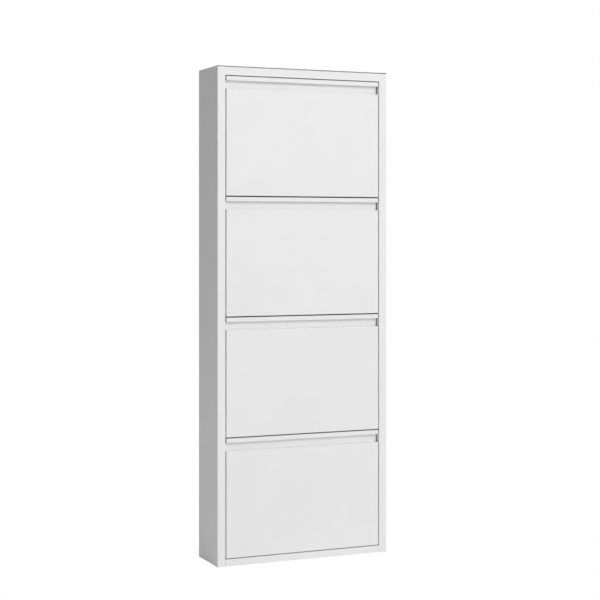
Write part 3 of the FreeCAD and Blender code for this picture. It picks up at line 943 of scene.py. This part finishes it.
@dataclass
class CatchScrew:
    """A pan-head screw with a cross recess."""

    head_radius: float = 2.8 * MM
    head: float = 1.6 * MM
    radius: float = 1.5 * MM
    recess: float = 0.9 * MM
    recess_width: float = 0.65 * MM
    recess_reach: float = 1.7 * MM
    crown: tuple[tuple[float, float], ...] = ((1.54 * MM, 0), (2.408 * MM, 0.175 * MM), (2.8 * MM, 0.65 * MM))
    point: float = 0.9 * MM
    point_radius: float = 0.525 * MM
    sides: int = 32

    def build(self, length: float) -> bpy.types.Object:
        """Models one screw up Z, its head at the origin, for a given length."""
        profile = [(0, 0), *self.crown, (self.head_radius, self.head), (self.radius, self.head),
                   (self.radius, length - self.point), (self.point_radius, length), (0, length)]
        piece = Bench.turned("screw_master", profile, self.sides)
        Bench.soften(piece, 0.12 * MM, 2)
        for long_axis in range(2):
            size = Vector((self.recess_width, self.recess_width, 2 * self.recess))
            size[long_axis] = 2 * self.recess_reach
            Bench.carve(piece, Bench.slab("cross", Box(-size / 2, size / 2)))
        Bench.take(piece)
        bpy.ops.object.shade_smooth_by_angle(angle=math.radians(30))
        return piece


@dataclass
class Catch:
    """Magnetic catches: nylon housings that hold a ferrite block between two steel plates.

    Attributes:
        finishes: The cabinet's finishes.
        corner: Radius of the housing's long corners.
        frame: Width of the raised frame round the housing's face.
        sink: How far the face lies below that frame.
        grips: Grip notches along each of the upper and lower faces.
        grip_half: Half the width of a notch.
        grip_depth: Its depth.
        grip_front: From the housing's face to a notch.
        grip_rear: From a notch to the housing's rear.
        plate: Thickness of a pole plate.
        block_side: From the plates' ends to the ferrite block's.
        block_back: From the plates' front edges to the block's face.
    """

    finishes: Finishes
    corner: float = 1.5 * MM
    frame: float = 0.7 * MM
    sink: float = 0.3 * MM
    grips: int = 3
    grip_half: float = 0.8 * MM
    grip_depth: float = 0.45 * MM
    grip_front: float = 2.5 * MM
    grip_rear: float = 1.5 * MM
    plate: float = 1.1 * MM
    block_side: float = 0.4 * MM
    block_back: float = 0.5 * MM

    def housing(self, box: Box, magnet: Box, name: str) -> bpy.types.Object:
        """Models one housing with its pocket and the grip notches in its upper and lower faces.

        Args:
            box: The housing's space.
            magnet: The magnet's space in it.
            name: The piece's name.

        Returns:
            The housing.
        """
        piece = Bench.slab(name, box)
        bpy.ops.object.mode_set(mode="EDIT")
        Bench.pick(piece, "EDGE", lambda edge: abs((edge.verts[0].co - edge.verts[1].co).y) > MM)
        bpy.ops.mesh.bevel(offset=self.corner, segments=5, affect="EDGES")
        Bench.pick(piece, "FACE", lambda face: face.normal.y < -FACING)
        bpy.ops.mesh.inset(thickness=self.frame)
        bpy.ops.mesh.extrude_region_move(TRANSFORM_OT_translate={"value": (0, self.sink, 0)})
        bpy.ops.object.mode_set(mode="OBJECT")
        spare = Vector((0, MM, 0))
        Bench.carve(piece, Bench.slab("pocket", Box(magnet.low - spare, magnet.high)))
        for index in range(self.grips):
            x = magnet.low.x + magnet.size.x * (index + 0.5) / self.grips
            for z in (box.low.z, box.high.z):
                low = Vector((x - self.grip_half, box.low.y + self.grip_front, z - self.grip_depth))
                high = Vector((x + self.grip_half, box.high.y - self.grip_rear, z + self.grip_depth))
                Bench.carve(piece, Bench.slab("grip", Box(low, high)))
        Bench.soften(piece, 0.15 * MM, 2, 40)
        return piece

    def ferrite(self, box: Box, name: str) -> bpy.types.Object:
        """Models one ferrite block, set back between its pole plates.

        Args:
            box: The whole magnet's space.
            name: The piece's name.

        Returns:
            The block.
        """
        low = box.low + Vector((self.block_side, self.block_back, self.plate))
        high = box.high - Vector((self.block_side, 0, self.plate))
        block = Bench.slab(name, Box(low, high))
        Bench.soften(block, 0.2 * MM, 2)
        return block

    def pole_plates(self, box: Box, name: str) -> list[bpy.types.Object]:
        """Models the two plates of one magnet.

        Args:
            box: The whole magnet's space.
            name: The start of the plates' names.

        Returns:
            The lower and the upper plate.
        """
        lower = Box(box.low, Vector((box.high.x, box.high.y, box.low.z + self.plate)))
        upper = Box(Vector((box.low.x, box.low.y, box.high.z - self.plate)), box.high)
        plates = [Bench.slab(f"{name}_lower", lower), Bench.slab(f"{name}_upper", upper)]
        for plate in plates:
            Bench.soften(plate, 0.15 * MM, 2)
        return plates

    def build(self) -> None:
        """Models all the housings and magnets of the carcass."""
        housings, blocks, plates = [], [], []
        magnets = solids_of("catch_magnets")
        for index, box in enumerate(solids_of("catch_housings")):
            magnet = min(magnets, key=lambda block: (block.centre - box.centre).length)
            housings.append(self.housing(box, magnet, f"housing_{index + 1}"))
            blocks.append(self.ferrite(magnet, f"ferrite_{index + 1}"))
            plates += self.pole_plates(magnet, f"plate_{index + 1}")
        for name, parts, slot, node in (
                ("catch_housings_fitted", housings, Slot.NYLON, "catch_housings"),
                ("catch_magnets_fitted", blocks, Slot.FERRITE, "catch_magnets"),
                ("catch_pole_plates", plates, Slot.ZINC, "catch_magnets")):
            piece = Bench.joined(name, parts)
            self.finishes.dress(piece, slot)
            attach(piece, "carcass")
            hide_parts(node)
            LOG.info("%s: %d solids on carcass", name, len(parts))


# ---- Sub-assemblies ----
@dataclass
class Carcass:
    """The standing box: its folded sheets, and the hardware fixed to it."""

    finishes: Finishes
    small: SmallParts
    sheets: tuple[str, ...] = (
        "left_side_panel", "right_side_panel", "top_panel", "top_rail", "bottom_panel",
        "back_panel", "wall_rail", "catch_brackets_left", "catch_brackets_right")
    body: str = "carcass"

    def build(self) -> None:
        """Coats the sheets and fits the hardware."""
        for sheet in self.sheets:
            self.finishes.dress_node(sheet, Slot.COAT)
            LOG.info("%s: coated", sheet)
        up, forward = Vector((0, 0, 1)), Vector((0, -1, 0))
        rivet = Rivet()
        for node, way in (("base_rivets", up), ("top_rivets", up), ("back_rivets", forward)):
            self.small.fit(node, self.body, Slot.COATED_RIVET, rivet.build, lambda _, way=way: way)
        self.small.fit("floor_pads", self.body, Slot.RUBBER, FloorPad().build, lambda _: up)
        for node in ("pivot_studs_left", "pivot_studs_right"):
            self.small.fit(node, self.body, Slot.ZINC, PivotStud().build, SmallParts.inwards)
        self.small.fit("catch_screws", self.body, Slot.ZINC, CatchScrew().build, lambda _: forward)
        Catch(self.finishes).build()


@dataclass
class Flap:
    """One tilting flap with its shoe bin, pivots and stops."""

    number: int
    finishes: Finishes
    small: SmallParts
    sheets: tuple[str, ...] = ("front", "cheek_left", "cheek_right", "bin")

    def build(self) -> None:
        """Coats the flap's sheets and fits its bushes, stops and rivets."""
        body = f"flap_{self.number}"
        for sheet in self.sheets:
            self.finishes.dress_node(f"{body}_{sheet}", Slot.COAT)
        inwards = SmallParts.inwards
        self.small.fit(f"{body}_bushes", body, Slot.NYLON, Bush().build, inwards)
        self.small.fit(f"{body}_stop_studs", body, Slot.ZINC, StopStud().build, inwards)
        self.small.fit(f"{body}_stop_sleeves", body, Slot.RUBBER, StopSleeve().build, inwards)
        self.small.fit(f"{body}_rivets", body, Slot.COATED_RIVET, Rivet().build, inwards)
        LOG.info("%s: coated and fitted", body)


# ---- Studio ----
@dataclass
class Studio:
    """A white floor that runs into a white surround, soft lights and the camera.

    Attributes:
        camera_place: The camera's place.
        camera_turn: Degrees that the level camera is turned from straight ahead, to the right.
        lens: Focal length in millimetres on a 36 mm sensor.
        rise: The lens shift that keeps uprights upright while the camera looks level.
        surround: Brightness of the surround at the horizon, as the cabinet is lit by it.
        overhead: Its brightness straight above.
        key_place: The middle of the large soft light, in front, above and to the right.
        key_size: Its width and height.
        key_power: Its power in watts.
        floor_reach: The floor's edge length.
        floor_white: How much light the floor gives back.
        sensor: The camera's sensor width in millimetres.
        far: How far the camera sees.
    """

    camera_place: tuple[float, float, float] = (-1.675, -3.897, 0.909)
    camera_turn: float = 23.514
    lens: float = 90.38
    rise: float = -0.1135
    surround: float = 0.103
    overhead: float = 0.731
    key_place: tuple[float, float, float] = (2.85, -7.84, 4.05)
    key_size: tuple[float, float] = (5.0, 5.0)
    key_power: float = 419
    floor_reach: float = 14
    floor_white: float = 0.9
    sensor: float = 36
    far: float = 100

    def build(self) -> None:
        """Sets up the whole studio."""
        bpy.context.scene.view_settings.view_transform = "Standard"
        bpy.context.scene.view_settings.look = "None"
        self.build_camera()
        self.build_surround()
        self.build_floor()
        self.build_key()

    def build_camera(self) -> None:
        """Stands the camera level in front and to the left."""
        Bench.clear()
        bpy.ops.object.camera_add(location=self.camera_place,
                                  rotation=(math.radians(90), 0, -math.radians(self.camera_turn)))
        camera = bpy.context.active_object
        camera.name = "studio_camera"
        camera.data.sensor_width = self.sensor
        camera.data.lens = self.lens
        camera.data.shift_y = self.rise
        camera.data.clip_end = self.far
        bpy.context.scene.camera = camera

    @staticmethod
    def seen_white(tree: bpy.types.NodeTree, lit: bpy.types.NodeSocket,
                   white: bpy.types.NodeSocket, output: bpy.types.NodeSocket) -> None:
        """Shows plain white to the camera and another shader to everything that is lit by it.

        Args:
            tree: The node tree.
            lit: The shader for all but camera rays.
            white: The shader that the camera sees.
            output: The socket that takes the result.
        """
        path = tree.nodes.new("ShaderNodeLightPath")
        mix = tree.nodes.new("ShaderNodeMixShader")
        tree.links.new(path.outputs["Is Camera Ray"], mix.inputs["Fac"])
        tree.links.new(lit, mix.inputs[1])
        tree.links.new(white, mix.inputs[2])
        tree.links.new(mix.outputs["Shader"], output)

    def build_surround(self) -> None:
        """Lights the cabinet from all round, more from above than from the sides."""
        world = bpy.data.worlds.new("surround")
        bpy.context.scene.world = world
        world.use_nodes = True
        tree = world.node_tree
        tree.nodes.clear()
        output = tree.nodes.new("ShaderNodeOutputWorld")
        lit = tree.nodes.new("ShaderNodeBackground")
        lit.inputs["Color"].default_value = (1, 1, 1, 1)
        way = tree.nodes.new("ShaderNodeTexCoord")
        split = tree.nodes.new("ShaderNodeSeparateXYZ")
        fall = tree.nodes.new("ShaderNodeMapRange")
        tree.links.new(way.outputs["Generated"], split.inputs["Vector"])
        tree.links.new(split.outputs["Z"], fall.inputs["Value"])
        fall.inputs["To Min"].default_value = self.surround
        fall.inputs["To Max"].default_value = self.overhead
        tree.links.new(fall.outputs["Result"], lit.inputs["Strength"])
        white = tree.nodes.new("ShaderNodeBackground")
        white.inputs["Color"].default_value = (1, 1, 1, 1)
        self.seen_white(tree, lit.outputs[0], white.outputs[0], output.inputs["Surface"])

    def build_floor(self) -> None:
        """Lays the plain floor."""
        Bench.clear()
        bpy.ops.mesh.primitive_plane_add(size=self.floor_reach, location=(0, 0, 0))
        floor = bpy.context.active_object
        floor.name = "studio_floor"
        material = bpy.data.materials.new("studio_floor")
        material.use_nodes = True
        tree = material.node_tree
        tree.nodes.clear()
        output = tree.nodes.new("ShaderNodeOutputMaterial")
        matt = tree.nodes.new("ShaderNodeBsdfDiffuse")
        matt.inputs["Color"].default_value = (*[self.floor_white] * 3, 1)
        white = tree.nodes.new("ShaderNodeEmission")
        white.inputs["Strength"].default_value = 1
        self.seen_white(tree, matt.outputs[0], white.outputs[0], output.inputs["Surface"])
        floor.data.materials.append(material)

    def build_key(self) -> None:
        """Hangs the large soft light in front, above and to the right, aimed at the middle flaps."""
        Bench.clear()
        bpy.ops.object.light_add(type="AREA", location=self.key_place)
        key = bpy.context.active_object
        key.name = "key_light"
        key.data.shape = "RECTANGLE"
        key.data.size, key.data.size_y = self.key_size
        key.data.energy = self.key_power
        aim = Vector((0, 0, CAD_BOX[1].z / 2)) - Vector(self.key_place)
        key.rotation_euler = aim.to_track_quat("-Z", "Y").to_euler()


def main() -> None:
    """Builds the cabinet's finishes, carcass and flaps, and the studio round them."""
    logging.basicConfig(level=logging.INFO, format="%(name)s: %(message)s")
    finishes = Finishes()
    small = SmallParts(finishes)
    Carcass(finishes, small).build()
    flaps = sorted(name for name in frame["bodies"] if name.startswith("flap_"))
    for number, _ in enumerate(flaps, start=1):
        Flap(number, finishes, small).build()
    Studio().build()


if __name__ == "__main__":
    main()
